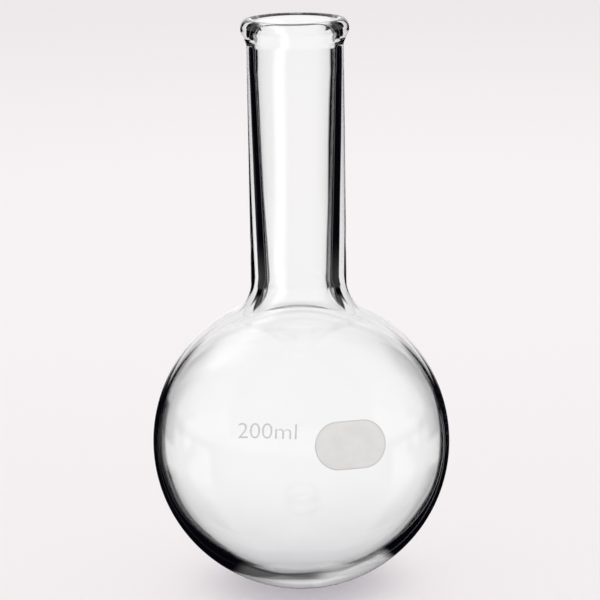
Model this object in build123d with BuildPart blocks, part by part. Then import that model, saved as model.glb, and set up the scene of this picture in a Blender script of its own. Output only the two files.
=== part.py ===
from build123d import *
import os
from math import cos, radians, sin, sqrt, tan

os.makedirs("parts", exist_ok=True)

# Round-bottom flask, 200 ml, blown in one piece of borosilicate glass.
# Millimetres, +Z up along the flask's own axis, origin at the lowest point of the bulb.

# Bulb
bulb_diameter = 80.0
bulb_wall = 1.6  # at the middle of the bulb, its widest place
bulb_floor = 3.2  # below the middle, the glass grows thicker towards the bottom
hollow_shift = 2.0  # above the middle, the hollow's arc is centred this far off the axis

# Neck: the outside is straight, the bore narrows from the mouth to the shoulder
overall_height = 154.4
neck_diameter = 25.6
neck_wall_at_mouth = 2.2
neck_wall_at_shoulder = 4.6
stopper_seat_depth = 12.0  # straight part of the bore, below the rounded mouth
seat_blend = 60.0  # long radius where the straight seat runs into the taper

# Shoulder, where the neck opens into the bulb
shoulder_radius_outside = 9.5
shoulder_radius_inside = 13.0

# Fire-polished lip
lip_overhang = 1.5  # how far the lip stands out past the neck
lip_crown = 2.75  # height of the rounded top above the widest point
lip_underside_radius = 2.5
lip_underside_angle = 25.0  # slope of the underside, away from the axis
lip_neck_blend = 3.0

# Sizes that follow from those above
bulb_radius = bulb_diameter / 2
neck_radius = neck_diameter / 2
seat_radius = neck_radius - neck_wall_at_mouth
throat_radius = neck_radius - neck_wall_at_shoulder
lip_radius = neck_radius + lip_overhang
crest_radius = (seat_radius + lip_radius) / 2
mouth_round = crest_radius - seat_radius
lip_widest_z = overall_height - lip_crown
seat_top_z = overall_height - mouth_round
seat_bottom_z = seat_top_z - stopper_seat_depth

# The hollow is widest at the bulb's middle. A tighter arc runs up from there, so the wall grows
# towards the neck, and half a flattened sphere hangs below.
hollow_radius = bulb_radius - bulb_wall
hollow_arc_radius = hollow_radius - hollow_shift
hollow_depth = bulb_radius - bulb_floor

# Where the plain neck and bore meet the bulb and its hollow, before the shoulder is rounded
neck_foot_z = bulb_radius + sqrt(bulb_radius**2 - neck_radius**2)
throat_z = bulb_radius + sqrt(hollow_arc_radius**2 - (throat_radius - hollow_shift) ** 2)

# The lip's underside: a round that turns into a straight slope, and ends on the neck
slope_angle = radians(lip_underside_angle)
slope_top_x = lip_radius - lip_underside_radius * (1 - cos(slope_angle))
slope_top_z = lip_widest_z - lip_underside_radius * sin(slope_angle)
slope_foot_z = slope_top_z - (slope_top_x - neck_radius) / tan(slope_angle)

bulb_centre = (0, bulb_radius)
axis_bottom = (0, 0)
bulb_side = (bulb_radius, bulb_radius)
neck_foot = (neck_radius, neck_foot_z)
slope_foot = (neck_radius, slope_foot_z)
slope_top = (slope_top_x, slope_top_z)
lip_side = (lip_radius, lip_widest_z)
seat_top = (seat_radius, seat_top_z)
seat_bottom = (seat_radius, seat_bottom_z)
throat = (throat_radius, throat_z)
hollow_side = (hollow_radius, bulb_radius)
hollow_bottom = (0, bulb_floor)

with BuildPart() as flask:
    # Half of the true section through the axis, outside first and then back down the inside
    with BuildSketch(Plane.XZ) as section:
        with BuildLine():
            ThreePointArc(axis_bottom, bulb_side, neck_foot)
            Line(neck_foot, slope_foot)
            Line(slope_foot, slope_top)
            RadiusArc(slope_top, lip_side, -lip_underside_radius)
            EllipticalCenterArc(
                (crest_radius, lip_widest_z),
                lip_radius - crest_radius,
                lip_crown,
                start_angle=0,
                arc_size=90,
            )
            CenterArc((crest_radius, seat_top_z), mouth_round, start_angle=90, arc_size=90)
            Line(seat_top, seat_bottom)
            Line(seat_bottom, throat)
            RadiusArc(throat, hollow_side, hollow_arc_radius)
            EllipticalCenterArc(
                bulb_centre,
                hollow_radius,
                hollow_depth,
                start_angle=270,
                arc_size=90,
            )
            Line(hollow_bottom, axis_bottom)
        make_face()
        for corner, radius in (
            (neck_foot, shoulder_radius_outside),
            (throat, shoulder_radius_inside),
            (slope_foot, lip_neck_blend),
            (seat_bottom, seat_blend),
        ):
            fillet(section.vertices().sort_by_distance(corner)[0], radius=radius)
    revolve(axis=Axis.Z)

flask.part.label = "flask"
export_step(flask.part, "parts/flask.step")
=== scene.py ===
"""The looks of a round-bottom flask: clear blown glass and two fired marks, in a pale studio.

Everything is in metres, in the flask's own frame: +Z up its axis, the lowest point of the bulb at the origin,
and the marked side towards -Y.
"""

import logging
import math
from collections.abc import Callable
from dataclasses import dataclass, field
from enum import Enum

import bpy
from mathutils import Matrix, Vector


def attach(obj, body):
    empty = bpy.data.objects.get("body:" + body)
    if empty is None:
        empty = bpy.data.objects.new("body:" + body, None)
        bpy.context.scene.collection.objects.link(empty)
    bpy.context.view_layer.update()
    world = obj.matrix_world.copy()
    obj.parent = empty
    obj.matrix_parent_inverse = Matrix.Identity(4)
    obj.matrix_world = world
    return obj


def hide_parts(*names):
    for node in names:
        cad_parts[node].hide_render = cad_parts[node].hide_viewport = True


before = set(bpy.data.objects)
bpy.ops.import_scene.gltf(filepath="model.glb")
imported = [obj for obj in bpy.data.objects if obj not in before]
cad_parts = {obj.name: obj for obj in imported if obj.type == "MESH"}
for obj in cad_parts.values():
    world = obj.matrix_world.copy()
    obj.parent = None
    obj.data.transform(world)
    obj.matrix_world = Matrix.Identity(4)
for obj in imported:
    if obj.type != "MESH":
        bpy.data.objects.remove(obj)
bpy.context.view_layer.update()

ROOT_BODY = "root"
FLASK_NODE = "flask"
MM = 0.001
TO_DEGREES = 180 / math.pi
PHOTO_PIXELS = 600  # the photograph is square
TOUCHING = 0.001 * MM
FEW_MIRRORINGS = 2  # a ray that the glass has mirrored more often than this sees a dark room

Step = tuple[float, float]  # a soft step's middle and width; a negative width makes it fall
Span = tuple[Step, Step]  # the step up at a stretch's start, and the one down at its end

log = logging.getLogger("flask")


class Signal:
    """One output in a shader tree. Python's operators on it add Math nodes."""

    def __init__(self, sheet: "ShaderSheet", socket: bpy.types.NodeSocket) -> None:
        """Keep the socket and the sheet that it is on."""
        self.sheet = sheet
        self.socket = socket

    def pin(self, name: str) -> "Signal":
        """Return another output of the same node."""
        return Signal(self.sheet, self.socket.node.outputs[name])

    def maths(self, operation: str, *values: "Signal | float") -> "Signal":
        """Return a Math node's result.

        Args:
            operation: The Math node's operation.
            values: Its inputs, in order.

        Returns:
            The node's output.
        """
        return self.sheet.node("ShaderNodeMath", {"operation": operation}, dict(enumerate(values)))

    def __add__(self, other: "Signal | float") -> "Signal":
        """Return the sum."""
        return self.maths("ADD", self, other)

    def __radd__(self, other: float) -> "Signal":
        """Return the sum, with the number first."""
        return self.maths("ADD", other, self)

    def __sub__(self, other: "Signal | float") -> "Signal":
        """Return the difference."""
        return self.maths("SUBTRACT", self, other)

    def __rsub__(self, other: float) -> "Signal":
        """Return the difference, with the number first."""
        return self.maths("SUBTRACT", other, self)

    def __mul__(self, other: "Signal | float") -> "Signal":
        """Return the product."""
        return self.maths("MULTIPLY", self, other)

    def __truediv__(self, other: "Signal | float") -> "Signal":
        """Return the quotient."""
        return self.maths("DIVIDE", self, other)

    def __abs__(self) -> "Signal":
        """Return the value without its sign."""
        return self.maths("ABSOLUTE", self)

    def __or__(self, other: "Signal | float") -> "Signal":
        """Return the larger of two masks."""
        return self.maths("MAXIMUM", self, other)

    def step(self, middle: float, width: float) -> "Signal":
        """Return a soft step that rises from 0 to 1.

        Args:
            middle: The value at which the step is half way.
            width: How far it takes to rise. A negative width makes it fall.

        Returns:
            The step, from 0 to 1.
        """
        return self.sheet.node(
            "ShaderNodeMapRange",
            {"interpolation_type": "SMOOTHSTEP"},
            {"Value": self, "From Min": middle - width / 2, "From Max": middle + width / 2},
        )

    def within(self, span: Span) -> "Signal":
        """Return 1 inside a stretch with soft ends, and 0 outside it."""
        first, last = span
        return self.step(*first) * self.step(*last)


class ShaderSheet:
    """The emptied node tree of a material or of the world."""

    def __init__(self, owner: bpy.types.Material | bpy.types.World) -> None:
        """Empty the owner's node tree."""
        owner.use_nodes = True
        self.is_world = isinstance(owner, bpy.types.World)
        self.tree = owner.node_tree
        self.tree.nodes.clear()

    def node(self, kind: str, settings: dict | None = None, inputs: dict | None = None) -> Signal:
        """Add a node, set it up and wire its inputs.

        Args:
            kind: The node's type.
            settings: Its properties, set before its inputs. The key stops sets a colour ramp's stops.
            inputs: Its sockets by name or number, each with a Signal, a number or a tuple.

        Returns:
            The node's first output that is in use.
        """
        made = self.tree.nodes.new(kind)
        for name, value in (settings or {}).items():
            if name == "stops":
                self.set_stops(made.color_ramp, value)
            else:
                setattr(made, name, value)
        for name, value in (inputs or {}).items():
            if isinstance(value, Signal):
                self.tree.links.new(value.socket, made.inputs[name])
            else:
                made.inputs[name].default_value = value
        return Signal(self, next((out for out in made.outputs if out.enabled), None))

    @staticmethod
    def set_stops(ramp: bpy.types.ColorRamp, stops: list[tuple[float, tuple]]) -> None:
        """Give a colour ramp its stops.

        Args:
            ramp: The ramp.
            stops: Each stop's place and colour, two at least.
        """
        while len(ramp.elements) < len(stops):
            ramp.elements.new(0.5)
        for element, (place, colour) in zip(ramp.elements, stops):
            element.position = place
            element.color = colour

    def ray(self, name: str) -> Signal:
        """Return an output of the Light Path node."""
        return self.node("ShaderNodeLightPath").pin(name)

    def mirrored(self, least: int, most: int | None = None) -> Signal:
        """Tell the rays that the glass has mirrored so many times from the others.

        Args:
            least: The smallest number of times.
            most: The largest, or None where there is none.

        Returns:
            1 for those rays and 0 for the others.
        """
        times = self.ray("Glossy Depth")
        enough = times.maths("GREATER_THAN", times, least - 0.5)
        return enough if most is None else enough * times.maths("LESS_THAN", times, most + 0.5)

    def place(self) -> Signal:
        """Return the Object coordinates."""
        return self.node("ShaderNodeTexCoord").pin("Object")

    def angles(self, direction: Signal) -> tuple[Signal, Signal]:
        """Return the angles of a direction.

        Args:
            direction: The direction.

        Returns:
            Its turn from straight behind the flask and its rise, in degrees.
        """
        x = self.node("ShaderNodeSeparateXYZ", None, {0: direction})
        turn = x.maths("ARCTAN2", x, x.pin("Y")) * TO_DEGREES
        return turn, x.maths("ARCSINE", x.pin("Z")) * TO_DEGREES

    def place_part(self, axis: str) -> Signal:
        """Return one of the Object coordinates, X, Y or Z."""
        return self.node("ShaderNodeSeparateXYZ", None, {0: self.place()}).pin(axis)

    def noise(self, scale: float, stretch: tuple[float, float, float] = (1, 1, 1)) -> Signal:
        """Return a noise from about 0 to 1 on Object coordinates.

        Args:
            scale: Its grain, in cells a metre.
            stretch: A factor on the coordinates along each axis.

        Returns:
            The noise's value.
        """
        spread = self.node("ShaderNodeMapping", None, {"Vector": self.place(), "Scale": stretch})
        return self.node("ShaderNodeTexNoise", None, {"Vector": spread, "Scale": scale})

    def blend(self, share: Signal, first: tuple, second: tuple) -> Signal:
        """Return a mix of two colours.

        Args:
            share: How much of the second colour shows.
            first: The first colour, with its alpha.
            second: The second colour, with its alpha.

        Returns:
            The mixed colour.
        """
        inputs = {"Factor": share, 6: first, 7: second}
        return self.node("ShaderNodeMix", {"data_type": "RGBA"}, inputs)

    def finish(self, surface: Signal) -> None:
        """Wire a shader to the tree's output.

        Args:
            surface: The shader.
        """
        kind = "ShaderNodeOutputWorld" if self.is_world else "ShaderNodeOutputMaterial"
        output = self.tree.nodes.new(kind)
        self.tree.links.new(surface.socket, output.inputs["Surface"])


@dataclass(frozen=True)
class BorosilicateGlass:
    """Clear, fire-polished glass, with faint rings where it was turned while it was blown."""

    refractive_index: float = 1.473
    clear: tuple = (1.0, 1.0, 1.0, 1.0)
    greyer: tuple = (0.98, 0.985, 0.982, 1.0)
    tone_scale: float = 30.0
    tone_stretch: tuple = (1.0, 1.0, 0.4)
    tone_change: Step = (0.5, 0.5)
    rings: float = 70.0
    ring_stretch: tuple = (1.0, 1.0, 7.0)
    ring_depth: float = 0.004 * MM
    passed: tuple = (0.985, 0.985, 0.985, 1.0)
    # the tint for matt rays through the foot: a painted shadow of the flask on the table
    painted_shadow_at_foot: tuple = (0.68, 0.665, 0.695, 1.0)
    foot: Step = (9.5 * MM, 5.0 * MM)

    def material(self) -> bpy.types.Material:
        """Return the glass.

        Returns:
            A material that bends the camera's rays, and lets the lamps' rays through, a little dimmed; matt
            rays that pass its foot are dimmed much more, a painted shadow under the flask.
        """
        made = bpy.data.materials.new("clear_borosilicate")
        sheet = ShaderSheet(made)
        tone = sheet.noise(self.tone_scale, self.tone_stretch).step(*self.tone_change)
        rings = sheet.noise(self.rings, self.ring_stretch)
        bump = sheet.node("ShaderNodeBump", None, {"Height": rings, "Distance": self.ring_depth})
        glass = sheet.node(
            "ShaderNodeBsdfPrincipled",
            None,
            {
                "Base Color": sheet.blend(tone, self.clear, self.greyer),
                "Roughness": 0.0,
                "IOR": self.refractive_index,
                "Transmission Weight": 1.0,
                "Normal": bump,
            },
        )
        # Matt rays through the foot are dimmed much more, which paints the flask's shadow on the table
        above_foot = sheet.place_part("Z").step(*self.foot)
        clear = sheet.node("ShaderNodeBsdfTransparent", None, {"Color": self.passed})
        dim = sheet.node("ShaderNodeBsdfTransparent", None, {"Color": self.painted_shadow_at_foot})
        dimmed = sheet.node("ShaderNodeMixShader", None, {0: above_foot, 1: dim, 2: clear})
        for kind, seen in (("Is Diffuse Ray", dimmed), ("Is Shadow Ray", clear)):
            glass = sheet.node("ShaderNodeMixShader", None, {0: sheet.ray(kind), 1: glass, 2: seen})
        sheet.finish(glass)
        return made


class EnamelTone(Enum):
    """How thick the fired enamel lies, which sets its grey."""

    FIELD = (0.846, 0.846, 0.826)
    BEAD = (0.74, 0.738, 0.726)
    STROKE = (0.74, 0.742, 0.737)


@dataclass(frozen=True)
class FiredEnamel:
    """White enamel fired on the glass: matt, a little uneven in its tone and grain."""

    tone: EnamelTone
    roughness: float = 0.45
    roughness_spread: float = 0.1
    unevenness: float = 0.05
    patches: float = 260.0
    patch_change: Step = (0.5, 0.4)
    grain: float = 4000.0
    grain_depth: float = 0.004 * MM

    def material(self) -> bpy.types.Material:
        """Write the enamel.

        Returns:
            A matt material in the enamel's tone.
        """
        made = bpy.data.materials.new("fired_enamel_" + self.tone.name.lower())
        sheet = ShaderSheet(made)
        light = (*self.tone.value, 1.0)
        dark = (*(channel * (1 - self.unevenness) for channel in self.tone.value), 1.0)
        grain = sheet.noise(self.grain)
        bump = sheet.node("ShaderNodeBump", None, {"Height": grain, "Distance": self.grain_depth})
        patchy = sheet.noise(self.patches)
        enamel = sheet.node(
            "ShaderNodeBsdfPrincipled",
            None,
            {
                "Base Color": sheet.blend(patchy.step(*self.patch_change), light, dark),
                "Roughness": self.roughness + patchy * self.roughness_spread,
                "Normal": bump,
            },
        )
        sheet.finish(enamel)
        return made


@dataclass(frozen=True)
class PaleTable:
    """The studio's matt table top."""

    colour: tuple = (0.925, 0.892, 0.900, 1.0)

    def material(self) -> bpy.types.Material:
        """Return the table's material."""
        made = bpy.data.materials.new("pale_table")
        sheet = ShaderSheet(made)
        sheet.finish(sheet.node("ShaderNodeBsdfDiffuse", None, {"Color": self.colour}))
        return made


@dataclass(frozen=True)
class LitPanel:
    """A lit panel beyond the flask, given by the directions that it covers, in degrees.

    Turn is measured from straight behind the flask, positive to the right. Rise is above the horizon.
    """

    turn: float
    half_width: float
    low: float
    high: float
    side_edge: float = 3.0
    end_edge: float = 3.0
    level: float = 1.0
    both_sides: bool = False

    def mask(self, turn: Signal, rise: Signal) -> Signal:
        """Return how much the panel lights each direction.

        Args:
            turn: The direction's turn.
            rise: The direction's rise.

        Returns:
            The panel's level inside it and 0 outside, with soft edges.
        """
        off_centre = abs((abs(turn) if self.both_sides else turn) - self.turn)
        across = off_centre.step(self.half_width, -self.side_edge)
        upward = rise.within(((self.low, self.end_edge), (self.high, -self.end_edge)))
        return across * upward * self.level


# What the dark room shows to rays that only went through the glass
THROUGH = (
    LitPanel(turn=0, half_width=27, low=-4, high=95, side_edge=6),
    LitPanel(turn=48, half_width=13, low=-40, high=-20.5, both_sides=True),
    LitPanel(turn=90, half_width=15, low=-40, high=95, both_sides=True),
    LitPanel(turn=135, half_width=14, low=-40, high=95, both_sides=True),
    LitPanel(turn=180, half_width=14, low=-40, high=95, both_sides=True),
    LitPanel(turn=0, half_width=200, low=26, high=95, end_edge=8, level=0.4),
    LitPanel(turn=0, half_width=200, low=-95, high=-72, end_edge=6, level=0.7),
)

# What it shows to rays that the glass has mirrored
REFLECTED = (
    LitPanel(turn=180, half_width=70, low=-95, high=95, side_edge=30, level=0.4, both_sides=True),
    LitPanel(
        turn=180, half_width=114, low=-95, high=-20, side_edge=14, end_edge=8, level=0.4, both_sides=True
    ),
    LitPanel(
        turn=180, half_width=70, low=32, high=95, side_edge=30, end_edge=12, level=0.85, both_sides=True
    ),
    LitPanel(turn=180, half_width=122, low=4, high=42, side_edge=10, end_edge=8, level=0.8, both_sides=True),
    LitPanel(turn=0, half_width=200, low=32, high=95, end_edge=12, level=0.75),
    LitPanel(turn=0, half_width=33, low=13, high=95, side_edge=4, end_edge=8),
    LitPanel(turn=0, half_width=22, low=-2, high=95, side_edge=6),
)


@dataclass(frozen=True)
class RoomColours:
    """What the glass shows of the studio."""

    lit: tuple = (1.0, 0.985, 0.99, 1.0)
    glowing: tuple = (1.25, 1.235, 1.24, 1.0)
    shaded: tuple = (0.66, 0.655, 0.675, 1.0)
    dark: tuple = (0.0015, 0.0015, 0.003, 1.0)

    def paint(self, sheet: ShaderSheet, light: Signal) -> Signal:
        """Return the colour for a level of light."""
        return sheet.blend(light, self.dark, self.lit)

    @staticmethod
    def panels(panels: tuple[LitPanel, ...], turn: Signal, rise: Signal) -> Signal:
        """Return the light of a set of panels.

        Args:
            panels: The panels.
            turn: The direction's turn.
            rise: The direction's rise.

        Returns:
            The level of the brightest panel in that direction.
        """
        light = panels[0].mask(turn, rise)
        for panel in panels[1:]:
            light = light | panel.mask(turn, rise)
        return light


@dataclass(frozen=True)
class StudioSurround:
    """The light all round: even for matt things, and lit panels in a dark room for the glass."""

    even_light: float = 0.905
    backdrop: tuple = (0.905, 0.871, 0.880, 1.0)
    room: RoomColours = RoomColours()

    def build(self) -> bpy.types.World:
        """Write the world's shader and give it to the scene.

        Returns:
            The world.
        """
        world = bpy.data.worlds.new("studio")
        bpy.context.scene.world = world
        world.cycles.sampling_method = "NONE"
        sheet = ShaderSheet(world)
        turn, rise = sheet.angles(sheet.node("ShaderNodeTexCoord").pin("Generated"))
        through = self.room.paint(sheet, self.room.panels(THROUGH, turn, rise))
        few_mirrorings = sheet.mirrored(1, FEW_MIRRORINGS)
        mirrored = self.room.paint(sheet, self.room.panels(REFLECTED, turn, rise) * few_mirrorings)
        light = sheet.node("ShaderNodeBackground", None, {0: through})
        mirrored = sheet.node("ShaderNodeBackground", None, {0: mirrored})
        even = sheet.node("ShaderNodeBackground", None, {0: (1, 1, 1, 1), 1: self.even_light})
        backdrop = sheet.node("ShaderNodeBackground", None, {0: self.backdrop})
        light = sheet.node("ShaderNodeMixShader", None, {0: sheet.mirrored(1), 1: light, 2: mirrored})
        for kind, seen in (("Is Diffuse Ray", even), ("Is Camera Ray", backdrop)):
            light = sheet.node("ShaderNodeMixShader", None, {0: sheet.ray(kind), 1: light, 2: seen})
        sheet.finish(light)
        return world


@dataclass(frozen=True)
class PanelPlace:
    """A place on the back panel, as its shader sees it.

    The azimuth is in degrees from straight behind the flask, positive to the right, and the height in
    millimetres. The last signal is 1 behind the neck and 0 behind the bulb.
    """

    sheet: ShaderSheet
    azimuth: Signal
    height: Signal
    behind_neck: Signal


@dataclass(frozen=True)
class FineStrip:
    """A narrow lit strip on each side of the back panel, which draws a fine line inside a dark band.

    The place is its azimuth at height 0, and the lean is how far it moves outwards with each millimetre up.
    """

    place: float
    lean: float
    half_width: float
    left: float
    right: float
    edge: float = 0.8

    def level(self, at: PanelPlace) -> Signal:
        """Return the strip's light.

        Args:
            at: The place on the panel.

        Returns:
            Its level, which may differ between left and right, and 0 beside it.
        """
        off_line = abs(abs(at.azimuth) - at.height * self.lean - self.place)
        on_right = at.azimuth.maths("GREATER_THAN", at.azimuth, 0)
        level = on_right * (self.right - self.left) + self.left
        return off_line.step(self.half_width, -self.edge) * level


@dataclass(frozen=True)
class BackPanel:
    """The lit panel behind the flask, which only the glass sees, curved about the flask's axis.

    A louvre keeps its light from leaving it steeply. Its own size is in metres. On the panel, heights are in
    millimetres and azimuths in degrees. A row of the outline is a height, with the panel's reach to the left
    and to the right.
    """

    radius: float = 0.2
    facets: int = 128
    low: float = -0.9
    high: float = 0.5
    front: float = -0.08
    outline: tuple = (
        (-175, 10, 11),
        (-150, 12.5, 13.5),
        (-126, 14.8, 16.5),
        (-95, 17.8, 20.5),
        (-80, 20.8, 22.5),
        (-66, 22, 23.5),
        (-44, 22.2, 23.9),
        (-11, 23.4, 25.6),
        (19, 23.5, 26.5),
        (33, 31, 25.4),
        (43, 31.5, 24.3),
        (57, 35.5, 24.5),
        (77, 32, 20.3),
        (92, 27, 18.5),
        (117, 22.9, 18),
    )
    widest: float = 60.0
    neck_edge: float = 5.0
    bulb_edge: float = 2.5
    neck_from: Step = (26, 10)
    steepest: float = 45.0
    steep_edge: float = 8.0

    # The colour: shaded low down and at the neck's right, and brighter in a slanting stripe behind the neck
    low_shade: Step = (-80, -110)
    right_shade: Step = (16, 16)
    right_shade_share: float = 0.35
    stripe: Span = ((0.65, 0.5), (1.5, -0.8))
    stripe_foot: float = -9.0
    stripe_bend: float = 525.0
    stripe_from: Step = (25, 10)
    stripe_share: float = 0.6

    # What is lit for rays that the glass has mirrored once or twice
    once_left: float = 22.0
    once_right_share: float = 0.92
    middle: Step = (7, -4)
    middle_heights: Span = ((-60, 20), (50, -8))
    elsewhere: float = 0.02
    side: Step = (56, 8)
    side_heights: Span = ((-25, 20), (18, -12))
    far_side: Step = (72, 8)
    far_side_top: Step = (48, -20)
    side_rise: Step = (-35, 30)
    side_level_low: float = 0.45
    side_level_high: float = 0.85
    foot: Step = (20, -6)
    foot_top: Step = (-110, -40)
    foot_flattest: float = 48.0
    foot_steepest: float = 64.0
    neck_strip: FineStrip = FineStrip(place=67.8, lean=-0.135, half_width=1.6, left=0.1, right=0.1)
    bulb_strip: FineStrip = FineStrip(place=43.3, lean=0.03, half_width=1.2, left=0.06, right=0.3)

    # What is lit for rays that crept round inside the bulb's wall, from one mirroring to the next
    creep_mirrorings: int = 9
    creep_reach: Span = ((-50, 10), (33, -10))
    creep_level: float = 0.75
    long_creep_mirrorings: int = 15
    long_creep: Step = (-12, 14)
    long_creep_dimmed: float = 0.82

    room: RoomColours = RoomColours()

    def build(self) -> bpy.types.Object:
        """Stand the panel up.

        Returns:
            The panel, which is part of the studio.
        """
        deselect_all()
        bpy.ops.mesh.primitive_cylinder_add(
            vertices=self.facets, radius=self.radius, depth=self.high - self.low, end_fill_type="NOTHING",
            location=(0, 0, (self.high + self.low) / 2),
        )
        panel = bpy.context.object
        panel.name = "back_panel"
        bpy.ops.object.transform_apply(location=True)
        bpy.ops.object.mode_set(mode="EDIT")
        pick_vertices(panel, lambda vertex: vertex.co.y < self.front)
        bpy.ops.mesh.delete(type="VERT")
        bpy.ops.object.mode_set(mode="OBJECT")
        panel.data.materials.append(self.material())
        show_to_glass_only(panel)
        return panel

    def material(self) -> bpy.types.Material:
        """Write the panel's light.

        Returns:
            A material that glows inside the panel's outline, and lets rays pass elsewhere.
        """
        made = bpy.data.materials.new("back_panel")
        sheet = ShaderSheet(made)
        x = sheet.node("ShaderNodeSeparateXYZ", None, {0: sheet.place()})
        azimuth = x.maths("ARCTAN2", x, x.pin("Y")) * TO_DEGREES
        height = x.pin("Z") * (1 / MM)
        at = PanelPlace(sheet, azimuth, height, height.step(*self.neck_from))
        crept = sheet.mirrored(FEW_MIRRORINGS + 1)
        level = self.level(at) * (1 - crept) | crept
        colour = sheet.blend(crept - self.creeping(at), self.colour(at), self.room.dark)
        light = sheet.node("ShaderNodeEmission", None, {0: colour})
        open_air = sheet.node("ShaderNodeBsdfTransparent")
        sheet.finish(sheet.node("ShaderNodeMixShader", None, {0: level, 1: open_air, 2: light}))
        return made

    def colour(self, at: PanelPlace) -> Signal:
        """Return the panel's colour.

        Args:
            at: The place on the panel.

        Returns:
            The colour, before the dimming for rays that crept round inside the wall.
        """
        along = at.azimuth * (at.height - self.stripe_foot) * (-1 / self.stripe_bend)
        stripe = along.within(self.stripe) * at.height.step(*self.stripe_from) * self.stripe_share
        colour = at.sheet.blend(stripe, self.room.lit, self.room.glowing)
        at_right = at.azimuth.step(*self.right_shade) * at.behind_neck * self.right_shade_share
        return at.sheet.blend(at.height.step(*self.low_shade) | at_right, colour, self.room.shaded)

    def level(self, at: PanelPlace) -> Signal:
        """Return the panel's level for rays that the glass has mirrored twice at most.

        Args:
            at: The place on the panel.

        Returns:
            1 where the panel is lit, and 0 where the rays pass through it.
        """
        _, right = self.reach(at)
        once = (at.azimuth + self.once_left).step(0, self.neck_edge)
        once = once * (right * self.once_right_share - at.azimuth).step(0, self.neck_edge) * at.behind_neck
        middle = abs(at.azimuth).step(*self.middle) * at.height.within(self.middle_heights)
        direct = self.direct(at)
        once_at_most = at.sheet.mirrored(0, 1)
        dimmed = direct * (once * once_at_most | middle | self.elsewhere)
        after = dimmed | self.sides(at) | self.lowest_part(at)
        lit = direct + at.sheet.mirrored(1) * (after - direct)
        strips = self.neck_strip.level(at) * at.behind_neck | self.bulb_strip.level(at) * (1 - at.behind_neck)
        return lit | once_at_most * strips

    def direct(self, at: PanelPlace) -> Signal:
        """Return the panel's level for rays that only went through the glass.

        Args:
            at: The place on the panel.

        Returns:
            1 inside the outline and 0 outside it, with soft edges, and 0 for steep rays.
        """
        left, right = self.reach(at)
        sharpness = at.behind_neck * (1 / self.neck_edge - 1 / self.bulb_edge) + 1 / self.bulb_edge
        level = ((at.azimuth + left) * sharpness).step(0, 1) * ((right - at.azimuth) * sharpness).step(0, 1)
        return level * (1 - self.steeper(at.sheet, self.steepest))

    def reach(self, at: PanelPlace) -> tuple[Signal, Signal]:
        """Return how far the panel reaches at a place's height.

        Args:
            at: The place on the panel.

        Returns:
            The reach to the left and to the right, in degrees.
        """
        foot, top = self.outline[0][0], self.outline[-1][0]
        stops = [
            ((height - foot) / (top - foot), (left / self.widest, right / self.widest, 0, 1))
            for height, left, right in self.outline
        ]
        share = (at.height - foot) / (top - foot)
        ramp = at.sheet.node("ShaderNodeValToRGB", {"stops": stops}, {0: share})
        parts = at.sheet.node("ShaderNodeSeparateColor", None, {0: ramp})
        return parts * self.widest, parts.pin("Green") * self.widest

    def steeper(self, sheet: ShaderSheet, angle: float) -> Signal:
        """Tell the rays that meet the panel at a steep slant from the others.

        Args:
            sheet: The panel's material.
            angle: The slant to the panel's normal, in degrees, from which a ray counts as steep.

        Returns:
            1 for steep rays and 0 for the others, with a soft change.
        """
        slant = sheet.node("ShaderNodeLayerWeight", None, {"Blend": 0.5}).pin("Facing")
        offsets = (-self.steep_edge / 2, 0, self.steep_edge / 2)
        low, middle, high = (1 - math.cos(math.radians(angle + offset)) for offset in offsets)
        return slant.step(middle, high - low)

    def sides(self, at: PanelPlace) -> Signal:
        """Return the light of the panel's sides, which show in the outer glass of the neck and the lip.

        Args:
            at: The place on the panel.

        Returns:
            The level for rays that the glass has mirrored.
        """
        off_middle = abs(at.azimuth)
        near = off_middle.step(*self.side) * at.height.within(self.side_heights)
        far = off_middle.step(*self.far_side) * at.height.step(*self.far_side_top)
        rise = at.height.step(*self.side_rise)
        return (near | far) * (rise * (self.side_level_high - self.side_level_low) + self.side_level_low)

    def lowest_part(self, at: PanelPlace) -> Signal:
        """Return the light of the panel's foot, which shows near the bottom of the bulb.

        Args:
            at: The place on the panel.

        Returns:
            The level for mirrored rays that come down on it within a range of slants.
        """
        foot = abs(at.azimuth).step(*self.foot) * at.height.step(*self.foot_top)
        flat_enough = 1 - self.steeper(at.sheet, self.foot_steepest)
        return foot * self.steeper(at.sheet, self.foot_flattest) * flat_enough

    def creeping(self, at: PanelPlace) -> Signal:
        """Return the light for rays that crept round inside the bulb's wall, which show at its bottom.

        Those mirrored most often draw the dark arc above the bottom, so most of them are dimmed.

        Args:
            at: The place on the panel.

        Returns:
            The level of the panel's own colour.
        """
        longest = at.sheet.mirrored(self.long_creep_mirrorings) * at.azimuth.step(*self.long_creep)
        light = at.sheet.mirrored(self.creep_mirrorings) * at.azimuth.within(self.creep_reach)
        return light * (1 - longest * self.long_creep_dimmed) * self.creep_level


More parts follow.
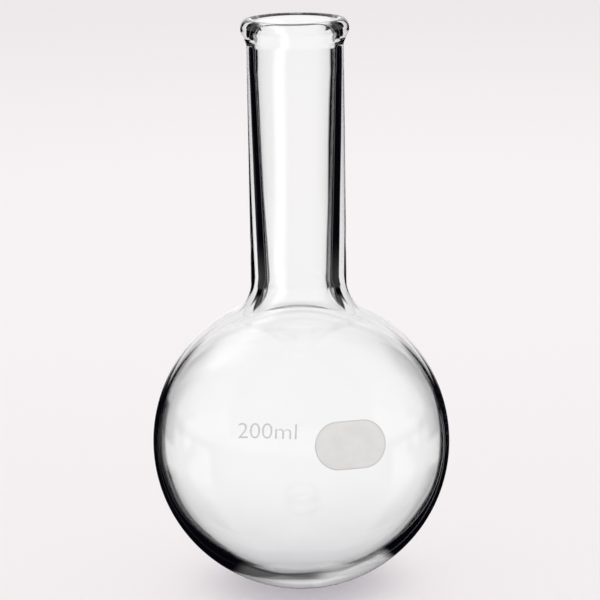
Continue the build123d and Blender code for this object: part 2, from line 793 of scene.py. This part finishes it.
@dataclass(frozen=True)
class NeckSlat:
    """A narrow dark slat behind the neck's left half, for rays that the glass has mirrored once.

    It draws the neck's fine dark outline.
    """

    place: tuple = (-0.0058, 0.02, 0.1135)
    width: float = 0.0076
    height: float = 0.073
    room: RoomColours = RoomColours()

    def build(self) -> bpy.types.Object:
        """Stand the slat up.

        Returns:
            The slat, which is part of the studio.
        """
        deselect_all()
        bpy.ops.mesh.primitive_plane_add(size=1, location=self.place, rotation=(math.pi / 2, 0, 0))
        slat = bpy.context.object
        slat.name = "neck_slat"
        slat.scale = (self.width, self.height, 1)
        bpy.ops.object.transform_apply(location=True, rotation=True, scale=True)
        slat.data.materials.append(self.material())
        show_to_glass_only(slat)
        return slat

    def material(self) -> bpy.types.Material:
        """Write the slat's dark face.

        Returns:
            A material that is there only for rays that the glass has mirrored once.
        """
        made = bpy.data.materials.new("neck_slat")
        sheet = ShaderSheet(made)
        open_air = sheet.node("ShaderNodeBsdfTransparent")
        dark = sheet.node("ShaderNodeEmission", None, {0: self.room.dark})
        sheet.finish(sheet.node("ShaderNodeMixShader", None, {0: sheet.mirrored(1, 1), 1: open_air, 2: dark}))
        return made


def deselect_all() -> None:
    """Leave edit mode and deselect every object."""
    if bpy.context.object and bpy.context.object.mode != "OBJECT":
        bpy.ops.object.mode_set(mode="OBJECT")
    bpy.ops.object.select_all(action="DESELECT")


def show_to_glass_only(piece: bpy.types.Object) -> None:
    """Hide a piece of the studio from the camera and from matt things, and let it cast no shadow."""
    piece.visible_camera = False
    piece.visible_diffuse = False
    piece.visible_shadow = False


def pick_vertices(piece: bpy.types.Object, wanted: Callable[[bpy.types.MeshVertex], bool]) -> None:
    """Select the vertices that a test accepts, and nothing else, in edit mode.

    Args:
        piece: The mesh object that is being edited.
        wanted: A function of a vertex that tells whether it is selected.
    """
    bpy.ops.mesh.select_mode(type="VERT")
    bpy.ops.mesh.select_all(action="DESELECT")
    bpy.ops.object.mode_set(mode="OBJECT")
    for vertex in piece.data.vertices:
        vertex.select = bool(wanted(vertex))
    bpy.ops.object.mode_set(mode="EDIT")


def single_vertex(name: str, place: tuple[float, float, float]) -> bpy.types.Object:
    """Start a piece from one vertex, and stay in edit mode with it selected.

    Args:
        name: The piece's name.
        place: Where the vertex lies.

    Returns:
        The mesh object.
    """
    deselect_all()
    bpy.ops.mesh.primitive_circle_add(vertices=3, radius=MM)
    piece = bpy.context.object
    piece.name = name
    bpy.ops.object.mode_set(mode="EDIT")
    bpy.ops.mesh.select_all(action="SELECT")
    bpy.ops.mesh.merge(type="CENTER")
    bpy.ops.transform.translate(value=place)
    return piece


def apply_modifiers(piece: bpy.types.Object) -> None:
    """Apply the modifiers of a piece.

    Args:
        piece: The piece, whose modifiers are applied in their order.
    """
    deselect_all()
    piece.select_set(True)
    bpy.context.view_layer.objects.active = piece
    for modifier in list(piece.modifiers):
        bpy.ops.object.modifier_apply(modifier=modifier.name)


@dataclass(frozen=True)
class Run:
    """A straight stretch of the section, to a point given by its radius and height."""

    end: Vector
    steps: int

    def trace(self, piece: bpy.types.Object, pen: Vector) -> Vector:
        """Extrude the selected vertex along the stretch.

        Args:
            piece: The section that is being traced.
            pen: Where the stretch starts.

        Returns:
            Where it ends.
        """
        stride = (self.end - pen) / self.steps
        for _ in range(self.steps):
            bpy.ops.mesh.extrude_vertices_move(TRANSFORM_OT_translate={"value": (stride.x, 0, stride.y)})
        return self.end


@dataclass(frozen=True)
class Bend:
    """An arc of the section about a centre, where a positive sweep in radians turns anticlockwise.

    A stretch other than 1 makes it part of an ellipse, taller or flatter than a circle.
    """

    centre: Vector
    sweep: float
    steps: int
    stretch: float = 1.0

    def trace(self, piece: bpy.types.Object, pen: Vector) -> Vector:
        """Spin the selected vertex along the arc.

        Args:
            piece: The section that is being traced.
            pen: Where the arc starts.

        Returns:
            Where it ends.
        """
        bpy.ops.object.mode_set(mode="OBJECT")
        before = len(piece.data.vertices)
        bpy.ops.object.mode_set(mode="EDIT")
        pivot = (self.centre.x, 0, self.centre.y)
        bpy.ops.mesh.spin(
            steps=self.steps, angle=self.sweep, center=pivot, axis=(0, 1, 0), use_auto_merge=False
        )
        arm = pen - self.centre
        arm.rotate(Matrix.Rotation(self.sweep, 2))
        end = self.centre + Vector((arm.x, arm.y * self.stretch))
        if self.stretch != 1.0:
            pick_vertices(piece, lambda vertex: vertex.index >= before)
            bpy.ops.transform.resize(value=(1, 1, self.stretch), center_override=pivot)
            pick_vertices(piece, lambda vertex: (vertex.co.xz - end).length < TOUCHING)
        return end


@dataclass
class FlaskSection:
    """Half of the flask's section through its axis, as radii and heights."""

    height: float = 154.4 * MM
    bulb_radius: float = 40.0 * MM
    bulb_wall: float = 1.6 * MM
    bulb_floor: float = 3.2 * MM
    hollow_shift: float = 2.0 * MM
    neck_radius: float = 12.8 * MM
    wall_at_mouth: float = 2.2 * MM
    wall_at_shoulder: float = 4.6 * MM
    seat_depth: float = 12.0 * MM
    seat_blend: float = 60.0 * MM
    shoulder_outside: float = 9.5 * MM
    shoulder_inside: float = 13.0 * MM
    lip_overhang: float = 1.5 * MM
    lip_crown: float = 2.75 * MM
    lip_underside: float = 2.5 * MM
    lip_slope: float = math.radians(25)
    lip_blend: float = 3.0 * MM

    def outside(self) -> list[Run | Bend]:
        """Return the strokes from the bottom of the bulb, up the outside and over the lip."""
        return [*self.bulb_and_shoulder(), *self.lip()]

    def bulb_and_shoulder(self) -> list[Run | Bend]:
        """Return the strokes of the bulb's outside.

        Returns:
            The bulb's arc and the shoulder's fillet.
        """
        middle = Vector((0, self.bulb_radius))
        fillet_x = self.neck_radius + self.shoulder_outside
        fillet_z = math.sqrt((self.bulb_radius + self.shoulder_outside) ** 2 - fillet_x**2)
        rise = math.atan2(fillet_z, fillet_x)
        return [
            Bend(middle, math.pi / 2 + rise, steps=96),
            Bend(middle + Vector((fillet_x, fillet_z)), -rise, steps=16),
        ]

    def lip(self) -> list[Run | Bend]:
        """Return the strokes of the neck's outside and the lip.

        Returns:
            The strokes from the shoulder, over the whole of the lip, as far as the bore.
        """
        lip_radius = self.neck_radius + self.lip_overhang
        bore_radius = self.neck_radius - self.wall_at_mouth
        crest = (lip_radius + bore_radius) / 2
        widest_z = self.height - self.lip_crown
        underside = Vector((lip_radius - self.lip_underside, widest_z))
        slope = self.lip_slope
        slope_top = underside + self.lip_underside * Vector((math.cos(slope), -math.sin(slope)))
        foot_z = slope_top.y - (slope_top.x - self.neck_radius) / math.tan(slope)
        blend_z = foot_z - self.lip_blend * math.tan(slope / 2)
        crown_width = lip_radius - crest
        return [
            Run(Vector((self.neck_radius, blend_z)), steps=18),
            Bend(Vector((self.neck_radius + self.lip_blend, blend_z)), -slope, steps=4),
            Run(slope_top, steps=2),
            Bend(underside, slope, steps=4),
            Bend(Vector((crest, widest_z)), math.pi / 2, steps=12, stretch=self.lip_crown / crown_width),
            Bend(Vector((crest, self.height - crest + bore_radius)), math.pi / 2, steps=10),
        ]

    def inside(self) -> list[Run | Bend]:
        """Return the strokes of the flask's inside.

        Returns:
            The strokes down the bore, round the shoulder's inside and down the hollow of the bulb.
        """
        bore_radius = self.neck_radius - self.wall_at_mouth
        throat_radius = self.neck_radius - self.wall_at_shoulder
        hollow_radius = self.bulb_radius - self.bulb_wall
        flatness = (self.bulb_radius - self.bulb_floor) / hollow_radius
        middle = Vector((0, self.bulb_radius))
        arc_middle = Vector((self.hollow_shift, self.bulb_radius))
        arc_radius = hollow_radius - self.hollow_shift
        mouth_round = (self.wall_at_mouth + self.lip_overhang) / 2
        seat = Vector((bore_radius, self.height - mouth_round - self.seat_depth))
        throat_z = self.bulb_radius + math.sqrt(arc_radius**2 - (throat_radius - self.hollow_shift) ** 2)
        taper = math.atan2(bore_radius - throat_radius, seat.y - throat_z)
        blend_z = seat.y + self.seat_blend * math.tan(taper / 2)
        blend = Vector((bore_radius - self.seat_blend, blend_z))
        down = Vector((-math.sin(taper), -math.cos(taper)))
        outward = Vector((math.cos(taper), -math.sin(taper)))
        start = seat + outward * self.shoulder_inside - arc_middle
        along = start.dot(down)
        reach = (arc_radius + self.shoulder_inside) ** 2
        travel = -along - math.sqrt(along**2 - start.length_squared + reach)
        fillet = arc_middle + start + down * travel
        rise = math.atan2(fillet.y - arc_middle.y, fillet.x - arc_middle.x)
        return [
            Run(Vector((bore_radius, blend_z)), steps=5),
            Bend(blend, -taper, steps=3),
            Run(seat + down * travel, steps=20),
            Bend(fillet, rise + taper, steps=18),
            Bend(arc_middle, -rise, steps=38),
            Bend(middle, -math.pi / 2, steps=54, stretch=flatness),
        ]


@dataclass
class BlownFlask:
    """The glass body, in one piece. Its inner wall is a little wavy, as blowing leaves it."""

    section: FlaskSection = field(default_factory=FlaskSection)
    glass: BorosilicateGlass = field(default_factory=BorosilicateGlass)
    turns: int = 256
    weld: float = 0.002 * MM
    wave_group: str = "inner_wall"
    wave_length: float = 16.0 * MM
    wave_height: float = 0.10 * MM
    wave_share_in_neck: float = 0.2

    def build(self) -> bpy.types.Object:
        """Trace the section, turn it about the axis and dress it.

        Returns:
            The glass.
        """
        piece = single_vertex("flask_glass", (0, 0, 0))
        pen = Vector((0, 0))
        for stroke in self.section.outside():
            pen = stroke.trace(piece, pen)
        piece.update_from_editmode()
        outer_count = len(piece.data.vertices)
        for stroke in self.section.inside():
            pen = stroke.trace(piece, pen)
        self.mark_inner_wall(piece, outer_count)
        bpy.ops.mesh.select_all(action="SELECT")
        bpy.ops.mesh.spin(steps=self.turns, angle=math.tau, center=(0, 0, 0), axis=(0, 0, 1))
        bpy.ops.mesh.select_all(action="SELECT")
        bpy.ops.mesh.remove_doubles(threshold=self.weld)
        bpy.ops.mesh.normals_make_consistent(inside=False)
        bpy.ops.object.mode_set(mode="OBJECT")
        self.wave_inner_wall(piece)
        bpy.ops.object.shade_smooth()
        piece.data.materials.append(self.glass.material())
        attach(piece, ROOT_BODY)
        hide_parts(FLASK_NODE)
        return piece

    def mark_inner_wall(self, piece: bpy.types.Object, first: int) -> None:
        """Put the inside of the section in a vertex group that grows from the mouth down into the bulb.

        Args:
            piece: The section, in edit mode.
            first: The number of the first vertex past the lip.
        """
        bpy.ops.object.mode_set(mode="OBJECT")
        group = piece.vertex_groups.new(name=self.wave_group)
        shoulder_z = 2 * self.section.bulb_radius
        for vertex in piece.data.vertices[first:]:
            below_mouth = (self.section.height - vertex.co.z) / (self.section.height - shoulder_z)
            below_shoulder = (shoulder_z - vertex.co.z) / shoulder_z
            share = self.wave_share_in_neck * min(below_mouth, 1) + max(below_shoulder, 0)
            group.add([vertex.index], min(share, 1), "REPLACE")
        bpy.ops.object.mode_set(mode="EDIT")

    def wave_inner_wall(self, piece: bpy.types.Object) -> None:
        """Push the inner wall in and out by a fraction of a millimetre.

        Args:
            piece: The glass, whose vertex group says how far each place goes.
        """
        waves = bpy.data.textures.new("blown_waves", "CLOUDS")
        waves.noise_scale = self.wave_length
        waves.noise_depth = 1
        push = piece.modifiers.new("waves", "DISPLACE")
        push.texture = waves
        push.vertex_group = self.wave_group
        push.strength = self.wave_height
        apply_modifiers(piece)
        piece.vertex_groups.clear()


@dataclass(frozen=True)
class FiredMark:
    """A flat mark that is laid on the bulb at a place given in degrees, and fired there."""

    name: str
    turn: float
    rise: float
    tilt: float
    lift: float = 0.02 * MM
    thickness: float = 0.04 * MM
    start_radii: float = 1.2

    def lay(self, piece: bpy.types.Object, glass: bpy.types.Object, bulb_radius: float) -> None:
        """Put a flat piece on the bulb and bend it to the glass.

        Args:
            piece: The flat mark, about its own origin, facing its own +Z.
            glass: The flask.
            bulb_radius: The bulb's radius.
        """
        turn, rise, tilt = (math.radians(angle) for angle in (self.turn, self.rise, self.tilt))
        level = math.cos(rise)
        outward = Vector((math.sin(turn) * level, -math.cos(turn) * level, math.sin(rise)))
        east = Vector((math.cos(turn), math.sin(turn), 0))
        facing = Matrix((east, outward.cross(east), outward)).transposed()
        place = Vector((0, 0, bulb_radius)) + outward * bulb_radius * self.start_radii
        piece.matrix_world = Matrix.Translation(place) @ (facing @ Matrix.Rotation(tilt, 3, "Z")).to_4x4()
        wrap = piece.modifiers.new("wrap", "SHRINKWRAP")
        wrap.target = glass
        wrap.wrap_method = "PROJECT"
        wrap.use_project_z = True
        wrap.use_negative_direction = True
        wrap.use_positive_direction = False
        wrap.offset = self.lift
        body = piece.modifiers.new("body", "SOLIDIFY")
        body.thickness = self.thickness
        body.offset = 1.0
        apply_modifiers(piece)
        bpy.ops.object.transform_apply(location=True, rotation=True, scale=True)
        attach(piece, ROOT_BODY)


@dataclass
class WritingPatch:
    """The rounded field to write on, with a slightly thicker edge."""

    mark: FiredMark = FiredMark("writing_patch", turn=19.4, rise=13.2, tilt=-1.5)
    length: float = 19.3 * MM
    height: float = 12.5 * MM
    bead_width: float = 0.35 * MM
    rings: int = 9
    end_steps: int = 36
    side_steps: int = 12
    weld: float = 0.005 * MM

    def build(self, glass: bpy.types.Object, bulb_radius: float) -> bpy.types.Object:
        """Make the patch from a radius that is swept round its outline.

        Args:
            glass: The flask.
            bulb_radius: The bulb's radius.

        Returns:
            The patch.
        """
        radius = self.height / 2
        half_side = (self.length - self.height) / 2
        piece = single_vertex(self.mark.name, (-half_side, 0, 0))
        strides = [(radius - self.bead_width) / self.rings] * self.rings + [self.bead_width]
        for stride in strides:
            bpy.ops.mesh.extrude_vertices_move(TRANSFORM_OT_translate={"value": (0, stride, 0)})
        bpy.ops.mesh.select_all(action="SELECT")
        for end in (-1, 1):
            bpy.ops.mesh.spin(
                steps=self.end_steps, angle=-math.pi, center=(end * half_side, 0, 0), axis=(0, 0, 1),
                use_auto_merge=False,
            )
            stride = -end * 2 * half_side / self.side_steps
            for _ in range(self.side_steps):
                bpy.ops.mesh.extrude_edges_move(TRANSFORM_OT_translate={"value": (stride, 0, 0)})
        bpy.ops.mesh.select_all(action="SELECT")
        bpy.ops.mesh.remove_doubles(threshold=self.weld)
        bpy.ops.mesh.normals_make_consistent(inside=False)
        bpy.ops.object.mode_set(mode="OBJECT")
        if piece.data.polygons[0].normal.z < 0:
            piece.data.flip_normals()
        piece.data.materials.append(FiredEnamel(EnamelTone.FIELD).material())
        piece.data.materials.append(FiredEnamel(EnamelTone.BEAD).material())
        for face in piece.data.polygons:
            beyond = max(abs(face.center.x) - half_side, 0)
            face.material_index = int(math.hypot(beyond, face.center.y) > radius - self.bead_width)
        bpy.ops.object.shade_smooth()
        self.mark.lay(piece, glass, bulb_radius)
        return piece


@dataclass
class CapacityFigure:
    """The plain figure that gives the flask's capacity."""

    mark: FiredMark = FiredMark("capacity_figure", turn=-13.5, rise=19.3, tilt=1.5)
    text: str = "200ml"
    length: float = 15.4 * MM
    height: float = 3.9 * MM
    thinning: float = -0.012
    curve_steps: int = 6

    def build(self, glass: bpy.types.Object, bulb_radius: float) -> bpy.types.Object:
        """Write the figure, make it a mesh and lay it on the bulb.

        Args:
            glass: The flask.
            bulb_radius: The bulb's radius.

        Returns:
            The figure.
        """
        deselect_all()
        bpy.ops.object.text_add()
        piece = bpy.context.object
        piece.name = self.mark.name
        piece.data.body = self.text
        piece.data.offset = self.thinning
        piece.data.resolution_u = self.curve_steps
        bpy.ops.object.convert(target="MESH")
        piece = bpy.context.object
        xs = [vertex.co.x for vertex in piece.data.vertices]
        ys = [vertex.co.y for vertex in piece.data.vertices]
        width, height = max(xs) - min(xs), max(ys) - min(ys)
        centre = Vector((min(xs) + width / 2, min(ys) + height / 2, 0))
        scale = Matrix.Diagonal((self.length / width, self.height / height, 1, 1))
        piece.data.transform(scale @ Matrix.Translation(-centre))
        piece.data.materials.append(FiredEnamel(EnamelTone.STROKE).material())
        self.mark.lay(piece, glass, bulb_radius)
        return piece


@dataclass
class Studio:
    """The table, the lamp and the light all round."""

    surround: StudioSurround = field(default_factory=StudioSurround)
    back_panel: BackPanel = field(default_factory=BackPanel)
    slat: NeckSlat = field(default_factory=NeckSlat)
    table: PaleTable = field(default_factory=PaleTable)
    table_radius: float = 8.0
    table_facets: int = 96
    lamp_size: float = 0.28
    lamp_place: tuple = (0.0, 0.6, 0.9)
    lamp_watts: float = 0.96

    def build(self) -> None:
        """Build the studio."""
        self.surround.build()
        self.back_panel.build()
        self.slat.build()
        self.lay_table()
        self.hang_lamp()

    def lay_table(self) -> None:
        """Lay the table, which the glass doesn't show."""
        deselect_all()
        bpy.ops.mesh.primitive_circle_add(
            vertices=self.table_facets, radius=self.table_radius, fill_type="NGON"
        )
        table = bpy.context.object
        table.name = "studio_table"
        table.data.materials.append(self.table.material())
        table.visible_glossy = False
        table.visible_transmission = False

    def hang_lamp(self) -> None:
        """Hang the lamp, which neither the glass nor the camera shows."""
        deselect_all()
        bpy.ops.object.light_add(type="AREA", location=self.lamp_place)
        lamp = bpy.context.object
        lamp.name = "soft_box"
        lamp.data.size = self.lamp_size
        lamp.data.energy = self.lamp_watts
        lamp.rotation_euler = (-Vector(self.lamp_place)).to_track_quat("-Z", "Y").to_euler()
        lamp.visible_glossy = False
        lamp.visible_transmission = False
        lamp.visible_camera = False


@dataclass
class Viewpoint:
    """The photograph's camera."""

    distance: float = 0.670
    height: float = 0.2343
    pitch: float = 13.056
    swing: float = -0.0213
    roll: float = 0.937
    focal_pixels: float = 2572.9
    sensor: float = 36.0
    nearest: float = 10 * MM
    farthest: float = 50.0

    def build(self) -> bpy.types.Object:
        """Place the camera and give it to the scene.

        Returns:
            The camera.
        """
        deselect_all()
        bpy.ops.object.camera_add(location=(0, -self.distance, self.height))
        camera = bpy.context.object
        camera.name = "photograph_view"
        camera.data.sensor_width = self.sensor
        camera.data.lens = self.focal_pixels / PHOTO_PIXELS * self.sensor
        camera.data.clip_start = self.nearest
        camera.data.clip_end = self.farthest
        swing = Matrix.Rotation(math.radians(self.swing), 3, "Z")
        tip = Matrix.Rotation(math.radians(90 - self.pitch), 3, "X")
        roll = Matrix.Rotation(math.radians(-self.roll), 3, "Z")
        camera.rotation_euler = (swing @ tip @ roll).to_euler()
        bpy.context.scene.camera = camera
        return camera


def set_light_paths() -> None:
    """Let rays pass every wall of the glass, and leave the colours as they are written."""
    scene = bpy.context.scene
    scene.view_settings.view_transform = "Standard"
    scene.cycles.max_bounces = 64
    scene.cycles.transmission_bounces = 32
    scene.cycles.glossy_bounces = 48
    scene.cycles.transparent_max_bounces = 16


def report(piece: bpy.types.Object) -> None:
    """Log a piece's name and the number of its faces."""
    log.info("%s: %d faces", piece.name, len(piece.data.polygons))


def main() -> None:
    """Build the flask, its marks, the studio and the camera."""
    logging.basicConfig(level=logging.INFO, format="%(name)s: %(message)s")
    set_light_paths()
    Viewpoint().build()
    flask = BlownFlask()
    glass = flask.build()
    report(glass)
    report(WritingPatch().build(glass, flask.section.bulb_radius))
    report(CapacityFigure().build(glass, flask.section.bulb_radius))
    Studio().build()


if __name__ == "__main__":
    main()
